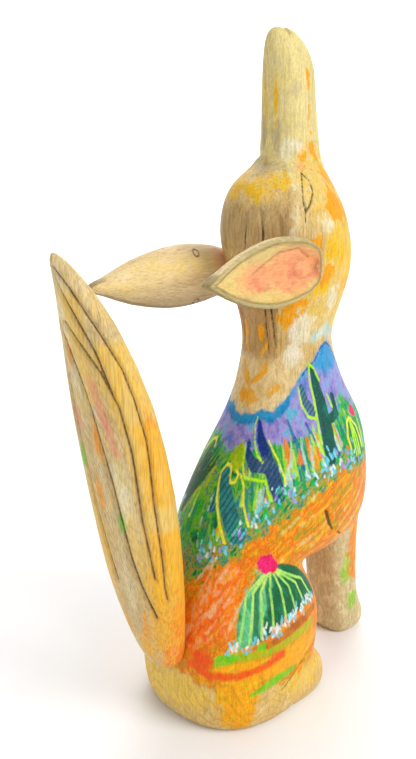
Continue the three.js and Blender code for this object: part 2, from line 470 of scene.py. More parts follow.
def slanted_strokes(seed, count, box, slope, length, size):
    """Long brush marks inside box = (low across, high across, low up, high up), on both flanks."""
    def one(rng):
        x = rng.uniform(box[0], box[1]) * rng.choice((-1, 1))
        y = rng.uniform(box[2], box[3])
        run = rng.uniform(0.5, 1) * length
        angle = slope + rng.uniform(-0.2, 0.2)
        side = 1 if x > 0 else -1
        r = rng.uniform(0.5, 1.1) * size
        return (x, y), (x + side * run * math.cos(angle), y + run * math.sin(angle)), r, r * 0.5
    return scatter(seed, count, one)


# ------ plants on the trunk, as brush paths and ovals

TALL_SAGUARO = [
    [(88, 199, 1.4), (90, 190, 3.4), (91, 178, 4.6), (89.5, 162, 4.6), (87, 147, 3.8)],
    [(95, 168, 2.6), (101, 170, 2.4), (103, 180, 1.8)],
]
TALL_SAGUARO_ARM = [[(76.5, 187, 2.4), (78, 179, 3.2), (82, 174, 3.4)]]
INDIGO_SAGUARO = [
    [(30, 168, 2.4), (34, 161, 3.6), (39, 155, 3.4)],
    [(22, 157, 2.0), (24, 153, 2.2)],
]
SLATE_SAGUARO = [
    [(34, 161, 3.4), (41, 152, 4.4), (47, 141, 4.8), (50, 132, 4.0)],
    [(24.5, 152, 2.8), (31, 147, 3.4), (42, 147, 3.6)],
]
TEAL_SAGUARO = [[(8, 141, 3.8), (17, 127, 5), (27, 113, 5)]]
BARREL = [[(111, 159, 3.6), (111.5, 151, 5.8), (111.5, 144, 6)]]
BARREL_RIBS = [even(0.75, (111.5 + 0.3 * k, 163), (111.5 + 2.2 * k, 153), (111.5 + 2.4 * k, 142))
               for k in (-1, 0, 1)]
ORANGE_TUFTS = [[(56, 160, 1.2), (58, 152, 2.6)], [(73, 160, 1), (74, 150, 2.2)]]
BLUE_TUFTS = [[(60, 170, 0.8), (66, 156, 1.8), (68, 143, 1.8)], [(75, 168, 0.8), (78, 159, 1.5)]]

# Outlines of the tall saguaro and its arm, then of the indigo and slate ones.
LIME_OUTLINES = [
    even(0.85, (94, 190), (91, 197), (86.5, 200), (85, 192), (86, 180), (84, 166), (82, 155), (82, 146)),
    even(0.85, (74, 187), (74.5, 178), (78, 171), (84, 169.5)),
    even(0.9, (98.5, 181), (99.5, 174)),
    even(0.8, (27, 171), (25.5, 167), (28, 159), (33, 152), (38, 149)),
    even(0.8, (19, 157), (21.5, 147), (25, 141), (41, 139.5), (45, 130)),
]
# Outlines of the teal saguaro, of the slate one's far side, and of the barrel cactus.
YELLOW_OUTLINES = [
    even(0.85, (13, 142), (11, 145.5), (6, 146), (3, 141), (8, 129), (15, 118), (21, 108)),
    even(0.8, (12.5, 141), (15, 137.5), (18.5, 138), (20, 142), (17, 144)),
    even(0.7, (42, 160), (50, 150), (54, 141), (56, 132)),
    even(0.7, (22, 142), (26, 137), (28, 128), (33, 117)),
    even(0.8, (105, 142), (104.5, 155), (108, 163), (112, 165), (117, 158), (118, 145)),
]
LEFT_EDGE_OUTLINE = [even(1.0, (-39, 146), (-35, 153), (-27, 155), (-22, 151))]


def agave(c, seed, spread):
    """Fan of leaves on the left of the back, drawn from one root."""
    rng = random.Random(seed)
    leaves = []
    for k in range(8):
        root = (-30 + rng.uniform(-4, 6), 112 + rng.uniform(-3, 4))
        tip_across = -40 + k * 4.6 + rng.uniform(-1, 1)
        tip_up = 146 + spread * math.sin(k * 0.45) + rng.uniform(-3, 3)
        leaves.append((root, (tip_across, tip_up), 2.3, 0.7))
    return union_of(c, leaves)


def cactus_flower(c, centre, across, up):
    """Six round petals in an oval, on both flanks."""
    petals = [(centre[0] + across * 0.5 * math.cos(a), centre[1] + up * 0.5 * math.sin(a),
               across * 0.55, up * 0.6) for a in np.arange(6) * math.pi / 3]
    return mirrored(c, ovals=petals)


# ------ layers on the trunk
# Each function below returns a dictionary: layer name -> millimetres inside the painted shape.

# Grass: layer, number of strokes, radius, tallest
GRASS = [
    ("grass_teal", 70, 1.6, 22),
    ("grass_lime", 90, 1.3, 24),
    ("grass_green", 120, 1.5, 20),
    ("grass_orange", 34, 1.6, 12),
    ("grass_pale", 44, 0.9, 16),
    ("grass_blue", 26, 1.3, 22),
]
# Brush marks on the ground: layer, then what slanted_strokes takes
GROUND_MARKS = [
    ("olive_marks", (41, 46, (28, 112, 104, 132), 0.5, 13, 1.4)),
    ("cream", (31, 40, (24, 118, 90, 128), 0.5, 26, 1.0)),
    ("ember", (37, 44, (8, 130, 84, 122), 0.6, 18, 2.0)),
]
# Blossom dabs between field and ground: layer, number, size
DABS = [("dab_green", 90, 1.5), ("dab_sky", 150, 1.0), ("dab_lilac", 90, 1.0), ("dab_white", 90, 0.8)]


def sky_layers(c):
    """The sky, and the mountains along its upper edge."""
    across, up = np.abs(c[0]), c[1]
    sky = height_at(SKY_TOP, across) - up
    return {
        "sky": sky,
        "cerulean": within(sky, 5.5 - sky, 64 - across),
        "peak": within(sky, together(up - 193 - 0.25 * np.abs(across - 104), 3 - sky)),
        "ridge": within(sky, 1.3 - sky, across - 78),
    }


def field_layers(c):
    """The green field with its grass, bushes and agave."""
    across, up = np.abs(c[0]), c[1]
    field = {
        "field": height_at(FIELD_TOP, across) - up,
        "thicket": within(34 - across, up - 92, 150 - up),
        "bush": painted(c, ovals=[(14, 151, 8, 8), (-14, 134, 8, 12)]),
        "leaf_dark": together(agave(c, 3, 10), agave(c, 4, 4)),
        "leaf_green": together(agave(c, 7, 7), oval(c, -8, 118, 7, 14)),
    }
    for i, (name, count, size, tallest) in enumerate(GRASS):
        field[name] = union_of(c, grass_strokes(SEED + i, count, size, tallest))
    field["grass_orange"] = together(field["grass_orange"], mirrored(c, ORANGE_TUFTS))
    field["grass_blue"] = together(field["grass_blue"], mirrored(c, BLUE_TUFTS))
    return field


def cactus_layers(c):
    """Cacti and their outlines. Those near the chest are on both flanks, the others on one."""
    def chest_lime(s):
        return together(within(painted(s, LIME_OUTLINES), s[0] - 60), painted(s, BARREL_RIBS))

    def chest_yellow(s):
        return within(painted(s, YELLOW_OUTLINES), s[0] - 60)

    return {
        "tall": mirrored(c, TALL_SAGUARO),
        "arm": mirrored(c, TALL_SAGUARO_ARM),
        "barrel": mirrored(c, BARREL),
        "slate": painted(c, SLATE_SAGUARO),
        "indigo": painted(c, INDIGO_SAGUARO),
        "teal": painted(c, TEAL_SAGUARO),
        "lime_line": together(painted(c, LIME_OUTLINES), both_sides(c, chest_lime)),
        "yellow_line": together(painted(c, YELLOW_OUTLINES + LEFT_EDGE_OUTLINE), both_sides(c, chest_yellow)),
    }


def ground_layers(c):
    """The orange ground, the shade at its upper edge, its brush marks and the blossom dabs."""
    across, up = np.abs(c[0]), c[1]
    below = height_at(GROUND_TOP, across) - up
    ground = {
        "shade": height_at(DAB_LINE, across) - up + 3,
        "ground": together(below, 72 - up),
    }
    for name, marks in GROUND_MARKS:
        ground[name] = within(union_of(c, slanted_strokes(*marks)), below)
    for i, (name, count, size) in enumerate(DABS):
        ground[name] = union_of(c, dab_strokes(61 + i, DAB_LINE, 6, 150, count, 3.6, size))
    return ground


# ------ layers on the head

# Patches on both sides of the head and neck: layer -> paths, ovals
HEAD_PATCHES = {
    "haze": ([[(92, 214, 3), (106, 219, 4), (116, 214, 3)]], []),
    # Painted shade: a grey-brown shadow on the muzzle and a thin strip along the brow crease.
    "grey_shade": ([], [(42, 324, 14, 10), (30, 308, 26, 3)]),
    # Pale cream patches, with a painted highlight stroke down the cheek ridge and painted highlights on the
    # throat.
    "pale": ([even(2.2, (62, 298), (61, 284), (60, 268))],
             [(79, 220, 12, 9), (74, 317, 15, 5), (90, 278, 7, 5), (104, 236, 6, 9), (112, 258, 4, 8),
              (70, 205, 9, 6)]),
    "lemon": ([], [(101, 266, 13, 12), (116, 256, 9, 14), (20, 296, 20, 6), (46, 301, 14, 4),
                   (34, 342, 8, 12), (86, 246, 8, 6)]),
    "amber": ([], [(100, 289, 10, 9), (116, 284, 12, 6), (112, 302, 10, 5), (64, 233, 12, 6),
                   (58, 226, 9, 4), (22, 218, 7, 6), (116, 350, 5, 9), (112, 317, 9, 4),
                   (94, 313, 9, 2.5), (90, 251, 8, 4), (80, 268, 5, 4), (112, 338, 3, 6),
                   (114, 327, 5, 3), (120, 244, 6, 4)]),
    "ochre": ([even(2.6, (4, 189), (20, 192), (30, 198)), even(2.5, (18, 205), (32, 212)),
               even(2, (40, 184), (52, 188))], [(10, 181, 12, 4)]),
    "blush": ([even(2.4, (68, 268), (78, 258))], [(80, 308, 9, 2.5)]),
}
# Ovals on one side only, so that chest and throat don't look mirrored.
SINGLE_PATCHES = {
    "lemon": [(136, 246, 18, 16), (-150, 276, 16, 9), (-128, 240, 9, 14)],
    "amber": [(146, 262, 9, 14), (-136, 258, 8, 5), (-152, 228, 7, 12)],
}


def head_layers(c):
    """Thin washes and dry patches on the neck, head and muzzle, with painted shade on the muzzle and painted
    highlights on the cheek ridge and throat.
    """
    across, up = np.abs(c[0]), c[1]
    head = {
        "cream_wash": up - 300 + 0.25 * (across - 50),
        "throat": within(across - 76 + 8 * np.sin(up / 9), up - 214, 318 - up) / 2,
        "skull": within(58 - across, up - 262, 290 - up),
        "nape": within(50 - across, up - 204, 262 - up),
        "sand": within(66 - across, 206 - up),
    }
    for name, (paths, ovals) in HEAD_PATCHES.items():
        head[name] = mirrored(c, paths, ovals)
    for name, ovals in SINGLE_PATCHES.items():
        head[name] = together(head[name], painted(c, ovals=ovals))
    return head


# ------ layers on the haunches

# Dabs along the foot of the dome: layer, seed, from, to, number, spread, size
BASE_DABS = [
    ("base_white", 81, 30, 104, 90, 1.8, 1.0),
    ("base_sky", 83, 32, 104, 90, 2.2, 1.0),
    ("base_peach", 85, 56, 76, 16, 1.2, 1.2),
]
# Patches on both haunches: layer -> paths, ovals
HAUNCH_PATCHES = {
    "coral": ([[(12, 58, 9), (24, 80, 10), (36, 92, 6)], [(32, 66, 5), (36, 84, 4)]], []),
    "earth": ([[(56, 55, 2), (75, 60, 3), (98, 64, 2)]], []),
    "olive": ([[(34, 48, 2.5), (54, 52, 3), (73, 54, 3), (93, 57, 2)]], []),
    "bright_green": ([[(24, 45, 2.2), (31, 48, 3.2), (37, 50, 2)],
                      [(47, 26, 1.2), (60, 31, 3.2), (78, 34, 1.6)]],
                     [(53, 55, 4, 2.2)]),
    "red_mark": ([[(14, 42, 2), (24, 38, 2.4), (39, 38.5, 2.2), (54, 43, 2), (66, 47, 2.6)]],
                 [(20, 46, 6, 5)]),
    "marigold": ([[(40, 38, 14), (40, 12, 9)], [(56, 40, 8), (92, 44, 7)]], []),
    "growth": ([], [(42, 16, 40, 24)]),
}


def dome(c):
    return within(oval(c, 71, 63, 33, 33), c[1] - height_at(DOME_BASE, c[0]))


def lit_dome(c):
    return within(dome(c), 55 - c[0] + 0.55 * (c[1] - 70))


def dome_ribs(c, feet, radius):
    """Ribs from the crown of the dome down to the given places along its foot."""
    ribs = []
    for x in feet:
        out = x - 66
        foot = (x, height_at(DOME_BASE, x) + 1)
        ribs.append(even(radius, (66 + out * 0.12, 94), (66 + out * 0.78, 84), foot))
    return within(dome(c), painted(c, ribs))


def haunch_layers(points, c):
    """Coral haunch, dome cactus on its strips of earth, marigold foot and bare wood."""
    across, up = np.abs(c[0]), c[1]
    clear_of_legs = points[:, 1] + 66
    low = {name: mirrored(c, paths, ovals) for name, (paths, ovals) in HAUNCH_PATCHES.items()}
    low["coral"] = within(low["coral"], 101 - up - 0.25 * np.maximum(across - 60, 0))
    low["coral_marks"] = union_of(c, slanted_strokes(71, 50, (2, 44, 46, 90), 0.95, 20, 1.5))
    low["peach_marks"] = union_of(c, slanted_strokes(73, 36, (4, 46, 48, 96), 1.0, 15, 1.0))
    low["dome"] = both_sides(c, dome)
    low["dome_mint"] = both_sides(c, lit_dome)
    low["dome_shade"] = both_sides(c, lambda s: dome_ribs(s, (48, 58, 66, 75, 83, 92, 100), 1.7))
    low["dome_rib"] = both_sides(c, lambda s: dome_ribs(s, (39, 45, 52, 60, 70, 79, 88, 97), 0.75))
    low["marigold"] = within(low["marigold"], clear_of_legs)
    low["growth"] = within(low["growth"], clear_of_legs)
    low["bare_foot"] = within(36 - up - 0.12 * across, clear_of_legs)
    low["foot_wash"] = painted(c, ovals=[(92, 20, 26, 10), (8, 22, 16, 11), (-14, 20, 18, 12)])
    for name, seed, start, end, count, spread, size in BASE_DABS:
        low[name] = union_of(c, dab_strokes(seed, DOME_BASE, start, end, count, spread, size))
    return low


# ------ layers on the forelegs

def leg_scratches(points):
    """Fine pale scratches down the back of the forelegs."""
    def one(rng):
        x, z = rng.uniform(-12, 12), rng.uniform(20, 96)
        return (x, z), (x + rng.uniform(-5, 5), z + rng.uniform(8, 20)), 0.55, 0.3
    return union_of((points[:, 0], points[:, 2]), scatter(97, 26, one))


def leg_layers(points, leg):
    """Bare wood of the forelegs, with its washes and scratches."""
    profile = (points[:, 1], points[:, 2])
    from_middle = np.abs(points[:, 0])
    on_sides = 3 * (from_middle - 8)
    green = painted(profile, ovals=[(-93, 50, 5, 12), (-98, 24, 5, 7), (-99, 72, 3, 8)])
    orange = painted(profile, [[(-100, 98, 18), (-101, 72, 11), (-103, 48, 9)]])
    return {
        "bare_leg": leg,
        "leg_green": within(green, on_sides),
        "leg_orange": within(orange, on_sides),
        "scratch": within(leg_scratches(points), -60 - points[:, 1], 12 - from_middle),
    }


# ------ lines carved in the body, and the dark paint in them: ink lines, and painted shade in the neck's flutes and the skull's grooves

# The two lids of a narrow upright eye, meeting in points.
FRONT_LID = [(79, 305), (82, 301), (80.5, 295), (75, 289), (70, 285)]
BACK_LID = [(79, 305), (75, 302), (71, 297), (69, 291), (70, 285)]

# Dark lines on both sides of the trunk chart: the eye, painted shade down the neck's flutes, and the knot.
TRUNK_LINES = [
    even(0.75, *FRONT_LID),
    even(0.75, *BACK_LID),
    even(0.6, (70, 285), (69, 280)),
    # Painted shade down the neck's two flutes, darkest at the top under the ear.
    [(31, 236, 1.6), (31, 222, 1.1), (36, 209, 0.6)],
    [(39, 236, 1.5), (43, 224, 1.1), (48, 212, 0.6)],
    [(79, 118, 1.3), (81, 111, 1.1), (84, 106, 0.7)],
    even(0.6, (88, 103), (92, 100)),
]
# Painted shade in the grooves on the skull.
SKULL_LINES = [
    [(13, 284, 0.2), (14, 277, 0.8), (12, 268, 0.5)],
    [(31, 281, 0.3), (33, 274, 1.2), (32, 263, 0.9)],
    [(-22, 280, 0.3), (-20, 268, 0.8)],
]
FOOT_LINES = [even(0.6, (70, 21), (76, 25), (88, 34)), even(0.5, (88, 34), (90, 38))]
CROSSED_SCRATCH = [even(0.5, (-1, 44), (4, 49)), even(0.5, (0, 48), (4, 44))]

LID_CUTS = [even(0.3, *FRONT_LID), even(0.3, *BACK_LID)]
BROW_CUT = [even(0.5, (0, 309), (38, 312), (72, 313.5), (95, 312.5), (115, 310))]
FLUTE_CUTS = [even(0.8, (31, 238), (31, 222), (36, 208)), even(0.8, (39, 238), (43, 224), (48, 211))]
SKULL_CUTS = [
    even(0.5, (13, 284), (14, 277), (12, 266)),
    even(0.9, (31, 284), (33, 274), (32, 262)),
    even(0.6, (-22, 282), (-20, 266)),
    even(0.3, (48, 282), (50, 266)),
]
FOOT_CUT = [even(0.4, (70, 21), (76, 25), (88, 34), (98, 39))]
KNOT_CUT = [even(0.7, (79, 119), (81, 111), (84, 106))]
CHEEK_EDGE = [[(62, 308, 1), (60, 290, 3), (58, 268, 3)]]


# Ink lines, with painted shade in the neck's flutes and the skull's grooves.
def dark_lines(trunk, haunch):
    return together(mirrored(trunk, TRUNK_LINES), painted(trunk, SKULL_LINES),
                    mirrored(haunch, FOOT_LINES), painted(haunch, CROSSED_SCRATCH))


def body_layers(points):
    """Everything painted on the body."""
    trunk = trunk_chart(points)
    haunch = haunch_chart(points)
    leg = within(-74 - points[:, 1], 97 - points[:, 2])
    flowers = together(cactus_flower(trunk, (119, 167), 3.6, 3.4), cactus_flower(haunch, (64, 97), 8, 4.6))
    layers = {"rose": flowers, "ink_and_groove_shade": dark_lines(trunk, haunch)}
    for group in (sky_layers(trunk), field_layers(trunk), cactus_layers(trunk), ground_layers(trunk)):
        layers.update({name: within(inside, -leg) for name, inside in group.items()})
    layers.update(head_layers(trunk))
    layers.update(haunch_layers(points, haunch))
    layers.update(leg_layers(points, leg))
    return layers


def body_cuts(points):
    """Every cut in the body as (millimetres inside its line, width, depth)."""
    trunk = trunk_chart(points)
    split_between_legs = within(1.2 - np.abs(points[:, 0]), -100 - points[:, 1], 92 - points[:, 2])
    return [
        (mirrored(trunk, LID_CUTS), 1.2, 0.8),
        (mirrored(trunk, BROW_CUT), 3.2, 0.9),
        (mirrored(trunk, FLUTE_CUTS), 2.4, 1.3),
        (painted(trunk, SKULL_CUTS), 2.6, 1.2),
        (mirrored(haunch_chart(points), FOOT_CUT), 1.8, 1.0),
        (split_between_legs, 2.2, 1.4),
        (mirrored(trunk, KNOT_CUT), 1.8, 1.2),
    ]


def facets(points):
    """How far the raised cheek edge, the sunken eye and the muzzle's flat sides stand out."""
    trunk = trunk_chart(points)
    z = points[:, 2]
    cheek = mirrored(trunk, CHEEK_EDGE)
    eye = mirrored(trunk, ovals=[(75, 295, 4, 8)])
    muzzle_middle = np.interp(z, [308, 345, 380], [-47.5, -46, -37.5])
    turn = np.arctan2(points[:, 0], points[:, 1] - muzzle_middle)
    squared = np.interp(z, [305, 322, 360, 374], [0, 1, 1, 0])
    return -groove(cheek, 5, 0.7) - 0.5 * np.clip(eye / 3, 0, 1) - 0.9 * np.cos(4 * turn) * squared


def carve_body(obj):
    """Smooths the CAD facets away, except at the ground and the sockets, and carves the relief."""
    points = points_of(obj)
    weight = np.interp(points[:, 2], [0, 3, 10, 120, 300, 330, 366, 380], [0, 0.2, 1, 1, 0.8, 0.5, 0.2, 0.1])
    kept_round_socket = 6.5
    for name in SOCKETS:
        along, off_axis = socket_distances(points, name)
        weight[(off_axis < kept_round_socket) & (along > -3)] = 0
    points = smoothed(obj, 50, weight)
    move = facets(points)
    for inside, width, depth in body_cuts(points):
        move += groove(inside, width, depth)
    points += normals_of(obj) * move[:, None]
    points[:, 2] = np.maximum(points[:, 2], 0)
    set_points(obj, points)
    return points


# ------ paint on the body

# Paint layers on the body from the bottom up: attribute, colours, edge softness, wander, cover.
BODY_PAINT = [
    ("cream_wash", "e4d8a2 ecdc98 d6c896", 4, 8, 0.8),
    ("throat", "e6cc84 ecc460 e8d090", 3, 8, 0.8),
    ("sand", "ecd098 f0d8a6 dcb878", 4, 8, 0.85),
    ("skull", "b09068 9c7e58", 4, 8, 0.58),
    ("nape", "a98050 b88e5a 96703f", 4, 10, 0.75),
    # Painted shade on the muzzle and along the brow crease.
    ("grey_shade", "a99a80 b5a68c", 3, 10, 0.55),
    # Pale cream, with painted highlights on the cheek ridge and throat.
    ("pale", "f2ecda e6e2c2", 3, 10, 0.72),
    ("haze", "a6d4d8 d2e6dc", 2, 5, 0.7),
    ("lemon", "f8b810 f4c43c ecc868", 4, 11, 0.84),
    ("amber", "f79c0c f8a814 f2a634", 1.2, 9, 0.92),
    ("ochre", "f2ac3c f0b85a", 1.2, 6, 0.9),
    ("blush", "f2946a f2a77c", 2.0, 7, 0.75),
    ("sky", "6488c8 8c84ca aa9ad6 94a8dc 6cb8d2", 0.7, 2.5, 1),
    ("cerulean", "1f78b8 3593c4", 1.2, 4, 0.95),
    ("peak", "3a8cc0 3fa6d6 5f8fc8", 3, 6, 0.9),
    ("ridge", "17427c", 0.5, 1.6, 0.85),
    ("field", "106a74 1f9a5a 3cb048 7cc44c 2484a8", 2.5, 12, 0.97),
    ("thicket", "0c5434 2f9a44 8cbc38 1a7a74 c8a838", 3, 10, 0.85),
    ("bush", "9aba12 b6c62a", 1.0, 9, 0.95),
    ("leaf_green", "2fae2a 66b82a", 0.8, 4, 0.9),
    ("grass_teal", "0f6f7c 1f8f8c", 0.6, 1.8, 0.85),
    ("grass_green", "2fae46 128446", 0.6, 1.8, 0.88),
    ("grass_blue", "1d4fa0 1f7f9c", 0.5, 1.2, 0.9),
    ("grass_lime", "a0d83c c4e468", 0.5, 1.4, 0.9),
    ("grass_orange", "f59b45 f0803a", 0.8, 2.4, 0.9),
    ("grass_pale", "cfe6d8 a8d0dc", 0.5, 1.2, 0.8),
    ("leaf_dark", "0c4a2c 163f24", 0.5, 1.6, 0.95),
    ("shade", "0b5c40 2f9a50 b9a43a 1f8078 7ab84a", 1.4, 8, 0.95),
    ("ground", "f08a10 f8ac14 ee6c1c d0a42e f4b82c", 1.6, 12, 0.97),
    ("olive_marks", "a49430 7c9c38 c8a83c", 1.2, 3.6, 0.75),
    ("ember", "f26614 f48058", 2.0, 5, 0.5),
    ("cream", "f4dc9c f8cc54", 1.1, 3.4, 0.7),
    ("coral", "ff7450 ff8a2c fdb488 ffa61e", 3, 9, 0.95),
    ("coral_marks", "f4720c f26040", 0.8, 2, 0.6),
    ("peach_marks", "f8cca0 f9b482", 0.7, 2.0, 0.8),
    ("bare_foot", "ead096 e0c07c eed8a0", 4, 12, 0.9),
    ("marigold", "fdbc04 fba606 fdc818", 4, 12, 0.97),
    ("foot_wash", "f6c840 f6d470 f2c458", 5, 12, 0.8),
    ("olive", "a8c02c c2b832 7fc034", 1.0, 3, 0.95),
    ("bright_green", "6ecb2e 8fd24a", 0.8, 2.6, 0.95),
    ("earth", "b5622a cf7a2c", 0.9, 2.6, 0.95),
    ("red_mark", "f5620c f7530a", 1.2, 3, 0.95),
    ("slate", "3c5c80 2f4f7c 5c7898", 0.6, 1.2, 1),
    ("indigo", "16288a 1a3a94 122a70", 1.4, 3.0, 1),
    ("tall", "0b5f4c 0a4f46 117058", 0.5, 1.0, 1),
    ("arm", "4a7f92 3f6f86", 0.5, 1.0, 0.9),
    ("teal", "2f7f86 3a8f90 277074", 0.5, 1.0, 1),
    ("barrel", "1b7a48 2a9150", 0.5, 1.0, 1),
    ("dome", "067240 086038 128a4a", 0.6, 1.2, 1),
    ("dome_mint", "5fc88a 8fdca4 3fae6c", 3, 6, 0.85),
    ("dome_shade", "0a5c34 1c7450", 0.6, 1.0, 0.8),
    ("dome_rib", "a8e878 ccf080", 0.45, 0.8, 0.95),
    ("lime_line", "b4f03c c8f060", 0.45, 0.7, 1),
    ("yellow_line", "eef06a f4e84a", 0.45, 0.7, 1),
    ("dab_green", "2fbf5a 1f9a58", 0.5, 1.6, 0.95),
    ("dab_sky", "8fdcf0 6fc8ea", 0.4, 1.0, 0.95),
    ("dab_lilac", "b3a2e2 9a9fe0", 0.4, 1.0, 0.95),
    ("dab_white", "e4f2f6 d8ecf4", 0.4, 0.8, 0.95),
    ("base_sky", "8adcea 74c8dc", 0.4, 1.0, 0.95),
    ("base_white", "e6f2ee f2e6da", 0.4, 0.8, 0.95),
    ("base_peach", "f5b494 f0a07c", 0.4, 0.8, 0.95),
    ("rose", "ec2058 f4508a dc1c3c", 0.5, 3.0, 1),
    ("bare_leg", "e2d0a2 ceb98c eedeb2", 1.5, 7, 0.95),
    ("scratch", "efe0bc e6d2a4", 0.5, 0.8, 0.7),
    ("leg_green", "8cc63a a8cc50", 1.5, 8, 0.85),
    ("leg_orange", "f9a428 f58c50 f4c654", 2.5, 10, 0.92),
    # Dark ink lines, and painted shade in the neck's flutes and the skull's grooves.
    ("ink_and_groove_shade", "3a2718", 0.45, 0.5, 0.85),
]


def body_material():
    sh = Shader("painted_body")
    wood, fibres = wood_colour(sh, 2, "cfae74 dfc48c e6d09e d8c4a4")
    rings = growth_rings(sh, (6, 14, 0), 2.1)
    shared = {
        "edge": sh.noise((1, 1, 0.7), 0.4, 2, 0.5, 0.2),
        "patch": sh.noise((1, 1, 0.6), 0.17, 3, 0.55, 0.3),
        "sweep": sh.noise((1, 0.2, 1), 0.3, 3, 0.6, 0.3, sh.turned(0.55)),
        "blotch": sh.noise((1, 1, 0.75), 0.14, 3, 0.58, 0.4),
    }
    colour = wood
    for layer in BODY_PAINT:
        colour = brushed_layer(sh, colour, layer, shared)
        if layer[0] == "foot_wash":
            ringed = sh.times(rings, sh.step(sh.attribute("growth"), -4, 4))
            colour = sh.stain(colour, ringed, 0.2, "9a6a2a")
    hatch_node = sh.new("ShaderNodeTexWave", wave_type="BANDS", bands_direction="DIAGONAL")
    sh.put(hatch_node.inputs["Vector"], sh.mm)
    hatch_node.inputs["Scale"].default_value = 0.16
    hatch_node.inputs["Distortion"].default_value = 1.2
    hatched = sh.math("MAXIMUM", sh.attribute("teal"), sh.attribute("arm"))
    hatch_area = sh.step(sh.math("MAXIMUM", hatched, sh.attribute("slate")), -0.2, 0.6)
    hatch = sh.times(sh.step(hatch_node.outputs["Fac"], 0.62, 0.8), hatch_area)
    colour = sh.stain(colour, hatch, 0.65, "12333c")
    bristle = sh.noise((1, 1, 0.35), 1.6, 3, 0.65, 0.5)
    colour = sh.streaked(colour, 0.26, bristle, 0.34, "747474", 0.6)
    stripes = sh.noise((1, 1, 0.1), 0.8, 3, 0.6, 0.3)
    colour = sh.streaked(colour, 0.24, stripes, 0.36, "8c7c74", 0.54)
    speck = sh.noise((1, 1, 1), 2.2, 2, 0.5)
    colour = sh.stain(colour, sh.step(speck, 0.66, 0.74), 0.35, "fff2d8")
    height = sh.plus(sh.times(bristle, 0.6), sh.times(fibres, 0.5))
    roughness = sh.plus(sh.times(bristle, 0.25), 0.36)
    return sh.finish(colour, roughness, height, 0.00035, 1.08)


# ------ tail

# Sections of the tail from its root up to its tip.
TAIL_HEIGHTS = [40, 66, 100, 146, 194, 235, 259, 274]
TAIL_SPINE = [53.7, 60.7, 67.7, 75.7, 86.2, 98.7, 109.2, 117.7]
TAIL_HALF_WIDTH = [10, 20, 26, 29, 27, 18, 9.5, 1.4]
TAIL_HALF_THICK = [6, 13, 16, 17, 15.5, 11, 6, 1.1]

# Carved lines on the back of the tail as (x, z), from the tip down.
TAIL_CUTS = [
    [(9, 240), (2, 216), (-3, 197), (-8, 161), (-11, 116), (-16, 80)],
    [(4, 240), (-7, 228), (-14, 217), (-20, 200), (-22, 177), (-21, 139), (-21, 106)],
    [(3, 264), (1, 256), (-6, 243), (-13, 227), (-18, 206)],
    [(1, 266), (-6, 257), (-16, 236), (-22, 219), (-25, 204), (-27, 184), (-27, 152), (-25, 112),
     (-23, 92)],
    [(13, 232), (19, 205), (23, 170), (22, 120), (17, 84)],
    [(11, 212), (12, 180), (10, 140), (5, 98)],
]


def tail_angle(points):
    """Angle round the tail from the middle of its back, and half the tail's width."""
    z = points[:, 2]
    spine = np.interp(z, TAIL_HEIGHTS, TAIL_SPINE)
    half = np.interp(z, TAIL_HEIGHTS, TAIL_HALF_WIDTH)
    thick = np.interp(z, TAIL_HEIGHTS, TAIL_HALF_THICK)
    behind = np.maximum((points[:, 1] - spine) / thick, -3)
    return np.arctan2(points[:, 0] / half, behind), half


def round_tail(x, z):
    """Distance round the tail of the point at x on its back, and its height."""
    half = np.interp(z, TAIL_HEIGHTS, TAIL_HALF_WIDTH)
    return float(half * math.asin(max(-0.99, min(0.99, x / half)))), z


def tail_cuts(points):
    """Millimetres inside the carved lines, which stay on the back and stop short of the tip."""
    angle, half = tail_angle(points)
    z = points[:, 2]
    share = (z - TAIL_HEIGHTS[0]) / (TAIL_HEIGHTS[-1] - TAIL_HEIGHTS[0])
    chart = (half * angle, z)
    lines = [even(0.6, *[round_tail(x, height) for x, height in line]) for line in TAIL_CUTS]
    on_back = np.where(np.abs(angle) < 2.2, 5, -15)
    return within(painted(chart, lines), on_back, (0.97 - share) * 200)


# Paint on the tail, on a chart of x and z: layer -> paths, ovals
TAIL_PATCHES = {
    "yellow": ([[(-22, 96, 7), (-27, 140, 6), (-27, 185, 7), (-18, 224, 8)], [(-6, 205, 5), (-3, 250, 6)]],
               [(12, 120, 7, 40), (-16, 118, 3, 22)]),
    "marigold": ([[(-15, 60, 6), (-23, 92, 6), (-27, 130, 4)], [(16, 60, 6), (22, 96, 4)],
                  [(-27, 150, 2), (-27, 190, 2.5)]],
                 [(-4, 56, 5, 9), (8, 68, 3, 6)]),
    "orange": ([[(-24, 84, 2), (-17, 50, 3.5)], [(-12, 84, 1), (-7, 66, 2)],
                [(-26, 212, 1.5), (-28, 190, 1.5)], [(14, 66, 2), (10, 50, 2)]],
               [(-3, 181, 2.6, 10), (3, 150, 1.8, 8), (5, 226, 2, 6), (15, 92, 3, 6)]),
    "blend": ([[(-28, 104, 1), (-27, 84, 3), (-22, 62, 5), (-13, 42, 6)], [(20, 84, 3), (14, 52, 4)]], []),
    "green": ([], [(-10, 137, 2.6, 6), (14, 168, 3, 6)]),
    "pink": ([even(2.4, (-8, 212), (-15, 176))], [(10, 190, 4, 8)]),
    # Cream wash, which also serves as painted highlight, strongest at the tip.
    "cream": ([], [(4, 246, 10, 22), (-2, 216, 6, 14), (-14, 150, 4, 24)]),
}


def build_tail():
    obj = remeshed_copy("tail", "tail_carved", TAIL_VOXEL)
    points = smoothed(obj, 40, np.ones(len(obj.data.vertices)))
    cuts = tail_cuts(points)
    points += normals_of(obj) * groove(cuts, 2.2, 1.3)[:, None]
    set_points(obj, points)
    chart = (points[:, 0], points[:, 2])
    layers = {name: painted(chart, paths, ovals) for name, (paths, ovals) in TAIL_PATCHES.items()}
    # The soft band beside each carved line is painted shade.
    layers.update(cut=cuts, cut_wide=cuts + 1.6)
    dress(obj, layers, tail_material())
    return obj


